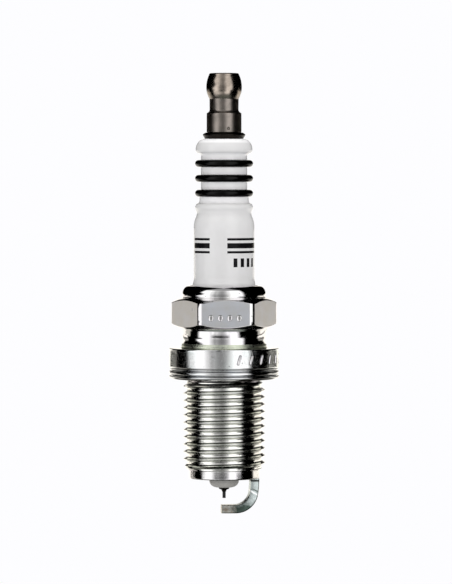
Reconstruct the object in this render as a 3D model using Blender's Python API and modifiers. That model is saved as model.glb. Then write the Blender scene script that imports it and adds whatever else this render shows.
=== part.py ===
"""Spark plug, M14 x 1.25 with a 19 mm reach, a 16 mm hexagon and a gasket seat.

Metres, +Z up. The origin is the centre of the shell's seat face and +Z runs to the terminal.
Lengths below are in millimetres, and MM turns them into metres.
"""

import math

import bmesh
import bpy
from mathutils import Matrix

MM = 0.001
STEPS = 32  # faces round every turned piece, so that neighbours share their angles
THREAD_STEPS = 16  # faces in one turn of the shell's thread
CLEARANCE = 0.05  # between pieces that touch
WELD = 1e-6  # metres

# Terminal nut and stud
TERMINAL_TOP = 50.5
NUT_BOTTOM = 40.2
NUT_HEAD_R = 3.05
NUT_NECK_R = 2.5
NUT_SKIRT_R = 3.0
NUT_BORE_R = 2.08
STUD_THREAD_R = 2.0
STUD_THREAD_TOP = 46.3
COLLAR_R = 3.65
COLLAR_TOP = 40.13
STEM_R = 1.9
STEM_BOTTOM = 11.5
KNURL_LENGTH = 6.0
KNURLS = 4

# Insulator
INSULATOR_TOP = 39.1
INSULATOR_NOSE_END = -20.6
INSULATOR_BORE_R = 2.05
RIB_R = 4.95
RIB_HEIGHT = 1.27
RIB_PITCH = 2.54
TOP_RIB_Z = 34.9
GROOVE_R = 3.95
BARREL_R = 5.2
SHOULDER_R = 6.0
MIDDLE_R = 4.6
NOSE_TOP_R = 3.5
NOSE_END_R = 2.54

# Centre electrode
SHANK_R = 1.25
SHANK_END_R = 0.88
HEAD_R = 1.9
HEAD_TOP = -0.6
HEAD_BOTTOM = -2.0
ELECTRODE_BORE_R = 1.32
CORE_R = 0.8
CORE_END = -17.5
CONE_END_R = 0.4
CONE_END = -21.35
TIP_R = 0.28
TIP_END = -22.45

# Shell
REACH = 19.0
THREAD_R = 7.0
THREAD_PITCH = 1.25
THREAD_DEPTH = 0.767
THREAD_TOP = -2.2
THREAD_BOTTOM = -17.1
PILOT_R = 6.1
PILOT_BORE_R = 4.45
FLANGE_R = 9.4
FLANGE_TOP = 3.35
NECK_R = 7.2
HEX_FLATS = 16.0
HEX_CORNER_R = 8.95
HEX_TOP = 11.9
HEX_BOTTOM = 6.75
HEX_TURN = math.radians(33.4)  # from a corner at the front; the front face is 3.4 degrees off it
LIP_R = 7.18
LIP_TOP = 14.05
UPPER_BORE_R = 6.2
MIDDLE_BORE_R = 4.75
LEDGE_R = 3.85

# Seat gasket
GASKET_R = 9.42
GASKET_BORE_R = 7.45
GASKET_LIP_R = 6.8
GASKET_BOTTOM = -2.0

# Ground electrode
STRAP_WIDTH = 2.6
STRAP_THICKNESS = 1.45
STRAP_OUTER_X = 5.95
STRAP_BEND_R = 2.5
STRAP_BOTTOM = -25.05
STRAP_TIP_X = -0.5
STRAP_TIP_WIDTH = 1.5
STRAP_TAPER = 2.6
STRAP_TURN = math.radians(8.0)


def clear_scene():
    for obj in list(bpy.data.objects):
        bpy.data.objects.remove(obj)


def new_collection(name):
    collection = bpy.data.collections.new(name)
    bpy.context.scene.collection.children.link(collection)
    return collection


def material(name, colour, roughness, metallic):
    made = bpy.data.materials.new(name)
    made.use_nodes = True
    shader = made.node_tree.nodes["Principled BSDF"]
    shader.inputs["Base Color"].default_value = (*colour, 1.0)
    shader.inputs["Roughness"].default_value = roughness
    shader.inputs["Metallic"].default_value = metallic
    made.diffuse_color = (*colour, 1.0)
    return made


def arc(centre_r, centre_z, radius, start, end, count):
    """Points of a round stretch of an outline; angles in degrees, 0 outwards and 90 up."""
    turns = [math.radians(start + (end - start) * i / count) for i in range(count + 1)]
    return [(centre_r + radius * math.cos(a), centre_z + radius * math.sin(a)) for a in turns]


def place(name, mesh, collection, finish=None):
    obj = bpy.data.objects.new(name, mesh)
    collection.objects.link(obj)
    if finish is None:
        obj.hide_render = True
        obj.display_type = "WIRE"
    else:
        mesh.materials.append(finish)
    return obj


def turned(name, outline, collection, finish=None, closed=False):
    """A turned piece. The outline is (radius, z) down the outer side, and closed where it has a bore."""
    mesh = bpy.data.meshes.new(name)
    points = [(r * MM, 0.0, z * MM) for r, z in outline]
    edges = [(i, i + 1) for i in range(len(points) - 1)]
    if closed:
        edges.append((len(points) - 1, 0))
    mesh.from_pydata(points, edges, [])
    obj = place(name, mesh, collection, finish)
    screw = obj.modifiers.new("turn", "SCREW")
    screw.steps = STEPS
    screw.render_steps = STEPS
    screw.use_merge_vertices = True
    screw.merge_threshold = WELD
    screw.use_smooth_shade = True
    return obj


def boolean(obj, other, operation):
    modifier = obj.modifiers.new(operation.lower(), "BOOLEAN")
    modifier.operation = operation
    modifier.solver = "EXACT"
    modifier.object = other


def evaluated_mesh(obj):
    graph = bpy.context.evaluated_depsgraph_get()
    return bpy.data.meshes.new_from_object(obj.evaluated_get(graph))


def thread_ridge(collection):
    """The shell's right-hand thread as one closed helix, rooted a little inside the rod it joins."""
    top, bottom = THREAD_TOP - 0.5, THREAD_BOTTOM + 0.5
    root_r = THREAD_R - THREAD_DEPTH
    buried_r = root_r - 0.25
    root_half = THREAD_PITCH * 0.39
    crest_half = THREAD_PITCH * 0.075
    section = [
        (buried_r, root_half),
        (root_r, root_half),
        (THREAD_R, crest_half),
        (THREAD_R, -crest_half),
        (root_r, -root_half),
        (buried_r, -root_half),
    ]
    mesh = bpy.data.meshes.new("shell_thread")
    mesh.from_pydata(
        [(r * MM, 0.0, (bottom + z) * MM) for r, z in section],
        [(i, (i + 1) % len(section)) for i in range(len(section))],
        [],
    )
    guide = place("shell_thread_guide", mesh, collection)
    turns = (top - bottom) / THREAD_PITCH
    screw = guide.modifiers.new("helix", "SCREW")
    screw.angle = math.tau * turns
    screw.screw_offset = (top - bottom) * MM
    screw.steps = round(THREAD_STEPS * turns)
    screw.render_steps = screw.steps
    solid = evaluated_mesh(guide)
    bpy.data.objects.remove(guide)
    work = bmesh.new()
    work.from_mesh(solid)
    bmesh.ops.holes_fill(work, edges=[e for e in work.edges if e.is_boundary])
    bmesh.ops.recalc_face_normals(work, faces=work.faces)
    work.to_mesh(solid)
    work.free()
    return place("shell_thread", solid, collection)


def terminal_nut(parts, cutters):
    blind_end = STUD_THREAD_TOP + 1.0
    outline = [
        (0.0, TERMINAL_TOP),
        (2.05, TERMINAL_TOP),
        *arc(2.05, TERMINAL_TOP - 0.5, 0.5, 60, 0, 2),
        (NUT_HEAD_R, 48.65),
        (NUT_HEAD_R, 47.5),
        (NUT_NECK_R + 0.08, 46.3),
        (NUT_NECK_R, 45.95),
        (NUT_NECK_R, 44.5),
        (NUT_SKIRT_R, 43.5),
        (NUT_SKIRT_R, NUT_BOTTOM + 0.15),
        (NUT_SKIRT_R - 0.15, NUT_BOTTOM),
        (NUT_BORE_R, NUT_BOTTOM),
        (NUT_BORE_R, blind_end),
        (0.0, blind_end + 0.6),
    ]
    finish = material("nut_nickel", (0.16, 0.14, 0.12), 0.28, 1.0)
    turned("terminal_nut", outline, parts, finish)


def terminal_stud(parts, cutters):
    """The rod through the insulator: its M4 end is a plain rod of the thread's outer diameter."""
    outline = [(0.0, STUD_THREAD_TOP), (STUD_THREAD_R - 0.4, STUD_THREAD_TOP)]
    outline += [(STUD_THREAD_R, STUD_THREAD_TOP - 0.4), (STUD_THREAD_R, COLLAR_TOP), (3.2, COLLAR_TOP)]
    outline += [(COLLAR_R, 39.85), (COLLAR_R, 39.6), (3.35, INSULATOR_TOP + CLEARANCE)]
    outline += [(STEM_R, INSULATOR_TOP + CLEARANCE)]
    for i in range(KNURLS):
        z = STEM_BOTTOM + KNURL_LENGTH * (1 - i / KNURLS)
        outline += [(STEM_R, z), (STEM_R - 0.25, z - 0.6)]
    outline += [(STEM_R, STEM_BOTTOM + 0.3), (STEM_R - 0.3, STEM_BOTTOM), (0.0, STEM_BOTTOM)]
    turned("terminal_stud", outline, parts, material("stud_steel", (0.3, 0.28, 0.26), 0.35, 1.0))


def rib(centre_z, height, radius, groove_above, groove_below):
    """One round rib of the insulator, from the groove over it to the groove under it."""
    half = height / 2
    side = half * 0.9
    return [
        (groove_above, centre_z + half + 0.18),
        (radius - side * 0.55, centre_z + half),
        (radius - 0.08, centre_z + half * 0.55),
        (radius, centre_z),
        (radius - 0.08, centre_z - half * 0.55),
        (radius - side * 0.55, centre_z - half),
        (groove_below, centre_z - half - 0.18),
    ]


def insulator(parts, cutters):
    outline = [(3.7, INSULATOR_TOP), (4.15, 38.95), (4.55, 38.4), (4.8, 37.7), (4.8, 37.2)]
    outline += [(4.55, 36.9), (GROOVE_R, 36.7)]
    for i in range(3):
        below = GROOVE_R if i < 2 else GROOVE_R + 0.2
        outline += rib(TOP_RIB_Z - RIB_PITCH * i, RIB_HEIGHT, RIB_R, GROOVE_R, below)
    outline += rib(27.45, 1.1, RIB_R, GROOVE_R + 0.2, 4.66)
    outline += [(4.66, 26.2), (4.85, 25.4), (BARREL_R, 24.6), (BARREL_R, 14.8), (5.42, 14.1)]
    outline += [(5.42, 13.0), (5.3, 12.7), (5.3, 8.9), (SHOULDER_R, 8.5), (SHOULDER_R, 1.9)]
    outline += [(MIDDLE_R, 0.5), (MIDDLE_R, -5.6), (NOSE_TOP_R, -6.4), (NOSE_END_R, -18.5)]
    outline += arc(NOSE_END_R - 1.15, INSULATOR_NOSE_END + 1.15, 1.15, 0, -90, 4)
    outline += [(ELECTRODE_BORE_R, INSULATOR_NOSE_END), (ELECTRODE_BORE_R, HEAD_BOTTOM - 0.9)]
    outline += [(INSULATOR_BORE_R, HEAD_BOTTOM - CLEARANCE), (INSULATOR_BORE_R, INSULATOR_TOP)]
    finish = material("white_glaze", (0.72, 0.72, 0.71), 0.12, 0.0)
    turned("insulator", outline, parts, finish, closed=True)


def glass_and_resistor(parts, cutters):
    """The conductive column between the stud's foot and the centre electrode's head."""
    column_r = INSULATOR_BORE_R - CLEARANCE
    glass = material("seal_glass", (0.12, 0.1, 0.09), 0.3, 0.0)
    carbon = material("resistor_mix", (0.03, 0.03, 0.032), 0.7, 0.0)
    for name, top, bottom, finish in (
        ("upper_glass_seal", STEM_BOTTOM - CLEARANCE, 9.0, glass),
        ("resistor", 9.0 - CLEARANCE, 1.4, carbon),
        ("lower_glass_seal", 1.4 - CLEARANCE, HEAD_TOP + CLEARANCE, glass),
    ):
        turned(name, [(0.0, top), (column_r, top), (column_r, bottom), (0.0, bottom)], parts, finish)


def centre_electrode(parts, cutters):
    bore_r = CORE_R + CLEARANCE
    recess_r = TIP_R + CLEARANCE
    recess_top = CONE_END + 0.55
    outline = [(0.0, CORE_END), (bore_r, CORE_END + 0.6), (bore_r, HEAD_TOP), (HEAD_R, HEAD_TOP)]
    outline += [(HEAD_R, HEAD_BOTTOM), (SHANK_R, HEAD_BOTTOM - 0.8), (SHANK_R, -19.9)]
    outline += [(SHANK_END_R, -20.3), (SHANK_END_R, -20.7), (CONE_END_R, CONE_END)]
    outline += [(recess_r, CONE_END), (recess_r, recess_top), (0.0, recess_top)]
    nickel = material("electrode_nickel", (0.09, 0.085, 0.08), 0.4, 1.0)
    turned("electrode_sheath", outline, parts, nickel)
    core = [(0.0, HEAD_TOP), (CORE_R, HEAD_TOP), (CORE_R, CORE_END + 0.65), (0.0, CORE_END + 0.1)]
    turned("electrode_copper_core", core, parts, material("copper", (0.72, 0.35, 0.2), 0.35, 1.0))
    top = recess_top - CLEARANCE
    tip = [(0.0, top), (TIP_R, top), (TIP_R, TIP_END + 0.04), (TIP_R - 0.04, TIP_END), (0.0, TIP_END)]
    turned("fine_wire_tip", tip, parts, material("tip_metal", (0.45, 0.45, 0.46), 0.3, 1.0))


def shell_outline():
    root_r = THREAD_R - THREAD_DEPTH
    outline = [(UPPER_BORE_R, 12.75), (5.62, LIP_TOP - 0.55), (5.7, LIP_TOP - 0.2), (6.1, LIP_TOP)]
    outline += [(6.6, LIP_TOP - 0.2), (7.0, LIP_TOP - 0.7), (LIP_R, 12.5), (LIP_R, HEX_TOP - 0.5)]
    outline += [(NECK_R, HEX_BOTTOM + 0.5), (NECK_R, 4.2), (NECK_R + 0.15, 3.75), (8.9, FLANGE_TOP)]
    outline += [(FLANGE_R, FLANGE_TOP - 0.3), (FLANGE_R, 0.25), (FLANGE_R - 0.25, 0.0)]
    outline += [(root_r, 0.0), (root_r, THREAD_BOTTOM + 0.2), (PILOT_R, THREAD_BOTTOM)]
    outline += [(PILOT_R, 0.25 - REACH), (PILOT_R - 0.25, -REACH), (PILOT_BORE_R + 0.1, -REACH)]
    outline += [(PILOT_BORE_R, 0.15 - REACH), (PILOT_BORE_R, -8.7), (LEDGE_R, -8.0), (LEDGE_R, -6.95)]
    outline += [(MIDDLE_BORE_R, -6.3), (MIDDLE_BORE_R, 0.25), (UPPER_BORE_R, 1.6)]
    return outline


def hexagon(cutters):
    """The hexagon with its corners turned off and both ends chamfered."""
    work = bmesh.new()
    bmesh.ops.create_cone(
        work,
        cap_ends=True,
        segments=6,
        radius1=HEX_FLATS / math.sqrt(3) * MM,
        radius2=HEX_FLATS / math.sqrt(3) * MM,
        depth=(HEX_TOP - HEX_BOTTOM) * MM,
        matrix=Matrix.Translation((0, 0, (HEX_TOP + HEX_BOTTOM) / 2 * MM))
        @ Matrix.Rotation(HEX_TURN, 4, "Z"),
    )
    mesh = bpy.data.meshes.new("hexagon")
    work.to_mesh(mesh)
    work.free()
    prism = place("hexagon", mesh, cutters)
    chamfer = 0.55
    flat_r = HEX_FLATS / 2 - 0.35
    outline = [(0.0, HEX_TOP + 1), (flat_r - 2.0, HEX_TOP + 1), (flat_r, HEX_TOP)]
    outline += [(HEX_CORNER_R, HEX_TOP - chamfer), (HEX_CORNER_R, HEX_BOTTOM + chamfer)]
    outline += [(flat_r, HEX_BOTTOM), (flat_r - 2.0, HEX_BOTTOM - 1), (0.0, HEX_BOTTOM - 1)]
    boolean(prism, turned("hexagon_envelope", outline, cutters), "INTERSECT")
    bore = [(0.0, HEX_TOP + 2), (6.7, HEX_TOP + 2), (6.7, HEX_BOTTOM - 2), (0.0, HEX_BOTTOM - 2)]
    boolean(prism, turned("hexagon_bore", bore, cutters), "DIFFERENCE")
    return prism


def metal_shell(parts, cutters):
    finish = material("plated_steel", (0.62, 0.61, 0.59), 0.22, 1.0)
    shell = turned("metal_shell", shell_outline(), parts, finish, closed=True)
    boolean(shell, hexagon(cutters), "UNION")
    ridge = thread_ridge(cutters)
    envelope = [(0.0, THREAD_TOP), (6.3, THREAD_TOP), (THREAD_R + 0.1, THREAD_TOP - 0.5)]
    envelope += [(THREAD_R + 0.1, THREAD_BOTTOM + 0.9), (6.2, THREAD_BOTTOM), (0.0, THREAD_BOTTOM)]
    boolean(ridge, turned("thread_envelope", envelope, cutters), "INTERSECT")
    boolean(shell, ridge, "UNION")


def packings(parts, cutters):
    """The two wire rings, the talc between them and the seat washer."""
    steel = material("packing_steel", (0.45, 0.44, 0.42), 0.4, 1.0)
    talc = material("talc", (0.75, 0.74, 0.7), 0.9, 0.0)
    inner, outer = 5.37, UPPER_BORE_R - CLEARANCE
    middle = (inner + outer) / 2
    radius = (outer - inner) / 2
    for name, z in (("upper_packing_ring", 12.2), ("lower_packing_ring", 9.5)):
        turned(name, arc(middle, z, radius, 180, -120, 5), parts, steel, closed=True)
    top, bottom = 11.75, 9.95
    block = [(inner, top), (outer, top), (outer, bottom), (inner, bottom)]
    turned("talc_packing", block, parts, talc, closed=True)
    washer = [(3.95, -6.16), (4.6, -5.72), (4.6, -6.3), (3.95, -6.77)]
    turned("seat_washer", washer, parts, steel, closed=True)


def seat_gasket(parts, cutters):
    """A folded ring with two round edges outside and a lip inside that the thread's crest holds."""
    outline = [(GASKET_BORE_R, -CLEARANCE), (9.1, -CLEARANCE), (9.25, -0.3), (9.05, -0.6)]
    outline += [(GASKET_R, -0.95), (9.2, -1.2), (GASKET_R, -1.45), (9.0, -1.85)]
    outline += [(8.4, GASKET_BOTTOM), (7.6, GASKET_BOTTOM), (GASKET_LIP_R, -1.85), (GASKET_LIP_R, -1.5)]
    outline += [(GASKET_BORE_R, -1.2)]
    turned("seat_gasket", outline, parts, material("gasket_steel", (0.55, 0.54, 0.52), 0.25, 1.0), True)


def strap_outline():
    """The bent strap's side view, as (distance from the plug's axis, z)."""
    inner_x = STRAP_OUTER_X - STRAP_THICKNESS
    centre_x = inner_x - STRAP_BEND_R
    centre_z = STRAP_BOTTOM + STRAP_THICKNESS + STRAP_BEND_R
    top = -REACH - CLEARANCE
    outline = [(STRAP_OUTER_X, top)]
    outline += arc(centre_x, centre_z, STRAP_BEND_R + STRAP_THICKNESS, 0, -90, 8)
    outline += [(STRAP_TIP_X, STRAP_BOTTOM), (STRAP_TIP_X, STRAP_BOTTOM + STRAP_THICKNESS)]
    outline += arc(centre_x, centre_z, STRAP_BEND_R, -90, 0, 8)
    outline += [(inner_x, top)]
    return outline


def ground_electrode(parts, cutters):
    curve = bpy.data.curves.new("strap_side", "CURVE")
    curve.dimensions = "2D"
    curve.fill_mode = "BOTH"
    curve.extrude = STRAP_WIDTH / 2 * MM
    outline = strap_outline()
    spline = curve.splines.new("POLY")
    spline.points.add(len(outline) - 1)
    for point, (x, z) in zip(spline.points, outline):
        point.co = (x * MM, z * MM, 0.0, 1.0)
    spline.use_cyclic_u = True
    side = bpy.data.objects.new("strap_side", curve)
    cutters.objects.link(side)
    mesh = evaluated_mesh(side)
    bpy.data.objects.remove(side)
    work = bmesh.new()
    work.from_mesh(mesh)
    bmesh.ops.remove_doubles(work, verts=work.verts, dist=WELD)
    work.to_mesh(mesh)
    work.free()
    mesh.materials.clear()
    finish = material("strap_nickel", (0.42, 0.42, 0.39), 0.4, 1.0)
    strap = place("ground_electrode", mesh, parts, finish)
    strap.matrix_world = Matrix.Rotation(STRAP_TURN, 4, "Z") @ Matrix.Rotation(math.pi / 2, 4, "X")
    for side_sign in (-1, 1):
        boolean(strap, taper_cutter(side_sign, cutters), "DIFFERENCE")


def taper_cutter(side, cutters):
    """A block that cuts one side of the strap towards its narrower tip."""
    size = 6.0
    slant = math.atan2((STRAP_WIDTH - STRAP_TIP_WIDTH) / 2, STRAP_TAPER)
    work = bmesh.new()
    bmesh.ops.create_cube(work, size=size * MM)
    mesh = bpy.data.meshes.new("taper")
    work.to_mesh(mesh)
    work.free()
    block = place("taper_left" if side < 0 else "taper_right", mesh, cutters)
    tip = Matrix.Translation((STRAP_TIP_X * MM, side * STRAP_TIP_WIDTH / 2 * MM, STRAP_BOTTOM * MM))
    turn = Matrix.Rotation(side * slant, 4, "Z")
    offset = Matrix.Translation((0.0, side * size / 2 * MM, 0.0))
    block.matrix_world = Matrix.Rotation(STRAP_TURN, 4, "Z") @ tip @ turn @ offset
    return block


def main():
    clear_scene()
    parts = new_collection("spark_plug")
    cutters = new_collection("cutters")
    cutters.hide_render = True
    for build in (
        terminal_nut,
        terminal_stud,
        insulator,
        glass_and_resistor,
        centre_electrode,
        metal_shell,
        packings,
        seat_gasket,
        ground_electrode,
    ):
        build(parts, cutters)


main()
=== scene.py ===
import math

import bmesh
import bpy
import numpy as np
from mathutils import Matrix, Vector


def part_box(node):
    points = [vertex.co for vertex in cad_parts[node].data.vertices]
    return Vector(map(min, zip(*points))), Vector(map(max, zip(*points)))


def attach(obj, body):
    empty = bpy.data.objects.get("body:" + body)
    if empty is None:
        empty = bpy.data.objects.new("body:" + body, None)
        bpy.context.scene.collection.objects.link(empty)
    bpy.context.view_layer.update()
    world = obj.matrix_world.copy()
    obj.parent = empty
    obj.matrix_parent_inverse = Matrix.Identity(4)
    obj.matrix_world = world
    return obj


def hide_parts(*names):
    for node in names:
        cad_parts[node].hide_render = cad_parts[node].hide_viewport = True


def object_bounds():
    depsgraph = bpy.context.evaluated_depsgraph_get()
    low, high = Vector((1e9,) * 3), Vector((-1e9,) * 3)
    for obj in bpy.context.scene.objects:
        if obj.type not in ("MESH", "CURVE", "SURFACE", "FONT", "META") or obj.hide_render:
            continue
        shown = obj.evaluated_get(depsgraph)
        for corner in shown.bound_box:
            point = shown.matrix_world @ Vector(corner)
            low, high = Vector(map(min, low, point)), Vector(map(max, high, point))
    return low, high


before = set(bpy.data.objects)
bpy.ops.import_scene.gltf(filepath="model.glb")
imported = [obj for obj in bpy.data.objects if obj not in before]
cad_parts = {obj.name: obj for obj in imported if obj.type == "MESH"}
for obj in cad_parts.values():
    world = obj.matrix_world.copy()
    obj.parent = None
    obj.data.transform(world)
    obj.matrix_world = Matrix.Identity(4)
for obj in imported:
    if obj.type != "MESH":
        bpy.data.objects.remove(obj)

# The spark plug's looks. Each visible CAD node is replaced by a detailed piece of the same size, made in
# millimetres; the sealed inner nodes stay and only get their materials.
MM = 0.001
CAD_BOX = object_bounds()

# Places read from the frame, in millimetres.
NUT_LOW, NUT_HIGH = (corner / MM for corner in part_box("terminal_nut"))
STUD_LOW, STUD_HIGH = (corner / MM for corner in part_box("terminal_stud"))
CERAMIC_LOW, CERAMIC_HIGH = (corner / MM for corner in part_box("insulator"))
SHELL_LOW, SHELL_HIGH = (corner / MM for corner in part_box("metal_shell"))
GASKET_LOW, GASKET_HIGH = (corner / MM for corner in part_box("seat_gasket"))
SHEATH_LOW, SHEATH_HIGH = (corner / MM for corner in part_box("electrode_sheath"))
WIRE_LOW, WIRE_HIGH = (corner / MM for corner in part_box("fine_wire_tip"))
STRAP_LOW, STRAP_HIGH = (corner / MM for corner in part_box("ground_electrode"))

# The shell's hexagon and thread, in millimetres and degrees.
HEX_APOTHEM = 8.0
HEX_FILLET = 1.5
HEX_FACE_TURN = 3.4
HEX_TOP, HEX_BOTTOM = 11.9, 6.75
THREAD_R, THREAD_ROOT_R = 7.0, 6.4
PITCH = 1.25
THREAD_TOP, THREAD_BOTTOM = -2.4, -17.35
CREST_Z = -2.555
FLANGE_R, FLANGE_TOP, BEAD_TOP = 9.4, 3.35, 4.1
PILOT_R, RELIEF_R = 6.1, 6.0

# The shell's material slots; the fourth is for the hex's front face, a darker, bluer copy of the satin steel:
# a painted reflection.
BRIGHT, SATIN, ROLLED, PAINTED_FRONT, BEAD, FLANGE = range(6)

# The ribs of black glaze, the strap's turn round the plug's axis, and how the crease across it falls.
RIB_PITCH, TOP_RIB_Z, RIB_HALF = 2.54, 34.9, 0.62
BLACK_RIBS = [TOP_RIB_Z - RIB_PITCH * i for i in range(3)]
STRAP_TURN = math.radians(8.0)
CREASE_SLOPE = 0.518

# The bars printed on the barrel: (azimuth from the front in degrees, half width, z, half height).
LONG_BARS = [(-52.0, 24.0), (46.0, 40.0)]
RULES = [(22.0, 0.2), (20.9, 0.45), (19.8, 0.2)]
SHORT_BARS = [(azimuth, 4.0, 18.0, 0.75) for azimuth in (22.0, 37.0, 52.0, 67.0)]
PRINTED_BARS = [(*bar, *rule) for bar in LONG_BARS for rule in RULES] + SHORT_BARS

COLUMNS = 192
SHARP = math.radians(38)
MERGE = 2e-7


# ---------------------------------------------------------------- mesh tools


def rounded(corners, steps=4):
    """An outline with rounded corners: each is (r, z), or (r, z, how far from it the curve starts)."""
    points = []
    for i, corner in enumerate(corners):
        here = np.array(corner[:2], float)
        reach = corner[2] if len(corner) > 2 else 0.0
        if reach == 0.0 or i in (0, len(corners) - 1):
            points.append(tuple(here))
            continue
        before = np.array(corners[i - 1][:2], float)
        after = np.array(corners[i + 1][:2], float)
        start = here + (before - here) * min(0.5, reach / np.linalg.norm(before - here))
        end = here + (after - here) * min(0.5, reach / np.linalg.norm(after - here))
        for k in range(steps + 1):
            t = k / steps
            points.append(tuple((1 - t) ** 2 * start + 2 * t * (1 - t) * here + t**2 * end))
    return points


def arc(centre_r, centre_z, radius_r, radius_z, start, end, steps):
    """Points of an elliptic arc; angles in degrees, 0 outwards and 90 up."""
    angles = np.radians(np.linspace(start, end, steps + 1))
    return [(centre_r + radius_r * math.cos(a), centre_z + radius_z * math.sin(a)) for a in angles]


def braced(outline, reach=0.035):
    """The outline with a point close to each end of its long straights, so that they shade flat."""
    points = [outline[0]]
    for a, b in zip(outline, outline[1:]):
        length = math.dist(a, b)
        if length > 5 * reach:
            for t in (reach / length, 1 - reach / length):
                points.append((a[0] + (b[0] - a[0]) * t, a[1] + (b[1] - a[1]) * t))
        points.append(b)
    return points


def linked(name, data):
    """A new object in the scene."""
    obj = bpy.data.objects.new(name, data)
    bpy.context.scene.collection.objects.link(obj)
    return obj


def shaded(mesh):
    """The mesh, shaded smooth with its sharp edges kept."""
    mesh.shade_smooth()
    mesh.set_sharp_from_angle(angle=SHARP)
    return mesh


class Skin:
    """A surface of rings round the plug's axis, with one vertex per angle in each ring."""

    def __init__(self, angles=None):
        even = np.linspace(0.0, math.tau, COLUMNS, endpoint=False)
        self.angles = even if angles is None else angles
        self.points, self.faces, self.slots = [], [], []

    def add(self, rings, slot=0, seam_shift=0, slot_of=None):
        """Rings are (r, z), numbers or one value per angle, down the outer side."""
        count, first = len(self.angles), len(self.points)
        for r, z in rings:
            r = np.broadcast_to(r, count) * MM
            z = np.broadcast_to(z, count) * MM
            self.points += list(zip(r * np.cos(self.angles), r * np.sin(self.angles), z))
        for i in range(len(rings) - 1):
            ring_slot = slot if slot_of is None else slot_of((rings[i][1] + rings[i + 1][1]) / 2)
            for j in range(count):
                # At the seam of a thread, a ring's end meets the start of the one seam_shift rings above it.
                k, lift = (j + 1, 0) if j + 1 < count else (0, seam_shift)
                if i < lift:
                    continue
                a, b = first + i * count, first + (i + 1) * count
                self.faces.append((a + j, b + j, b + k - lift * count, a + k - lift * count))
                self.slots.append(ring_slot)

    def make(self, name, materials):
        """The surface as an object; a face's slot is its place in the materials."""
        mesh = bpy.data.meshes.new(name)
        mesh.from_pydata(self.points, [], self.faces)
        for material in materials:
            mesh.materials.append(material)
        mesh.polygons.foreach_set("material_index", self.slots)
        return linked(name, shaded(merged(mesh)))


def merged(mesh):
    """The mesh with its coincident vertices merged and its empty faces dropped."""
    work = bmesh.new()
    work.from_mesh(mesh)
    bmesh.ops.remove_doubles(work, verts=work.verts, dist=MERGE)
    bmesh.ops.dissolve_degenerate(work, edges=work.edges, dist=MERGE / 2)
    work.to_mesh(mesh)
    work.free()
    return mesh


def turned(name, outline, materials, slot_of=None, closed=False):
    """A piece turned round the plug's axis from its outline."""
    skin = Skin()
    skin.add(braced(outline + outline[:1] if closed else outline), slot_of=slot_of)
    return skin.make(name, materials)


def cut(obj, bars):
    """Takes round-ended bars, each (length, radius, place), out of the piece in one step."""
    work = bmesh.new()
    for bar in bars:
        add_bar(work, *bar)
    mesh = bpy.data.meshes.new("cutter")
    work.to_mesh(mesh)
    work.free()
    cutter = linked("cutter", mesh)
    modifier = obj.modifiers.new("cut", "BOOLEAN")
    modifier.operation = "DIFFERENCE"
    modifier.solver = "EXACT"
    modifier.object = cutter
    graph = bpy.context.evaluated_depsgraph_get()
    result = bpy.data.meshes.new_from_object(obj.evaluated_get(graph))
    obj.modifiers.clear()
    obj.data = shaded(merged(result))
    bpy.data.objects.remove(cutter)


def add_bar(work, length, radius, place):
    """Adds a round-ended bar along the place's Z; its length leaves out the round ends."""
    made = bmesh.ops.create_uvsphere(work, u_segments=16, v_segments=10, radius=radius * MM)
    for vert in made["verts"]:
        vert.co.z += math.copysign(length / 2 * MM, vert.co.z) if abs(vert.co.z) > 1e-9 else 0.0
    bmesh.ops.transform(work, matrix=place, verts=made["verts"])


# ---------------------------------------------------------------- material tools


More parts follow.
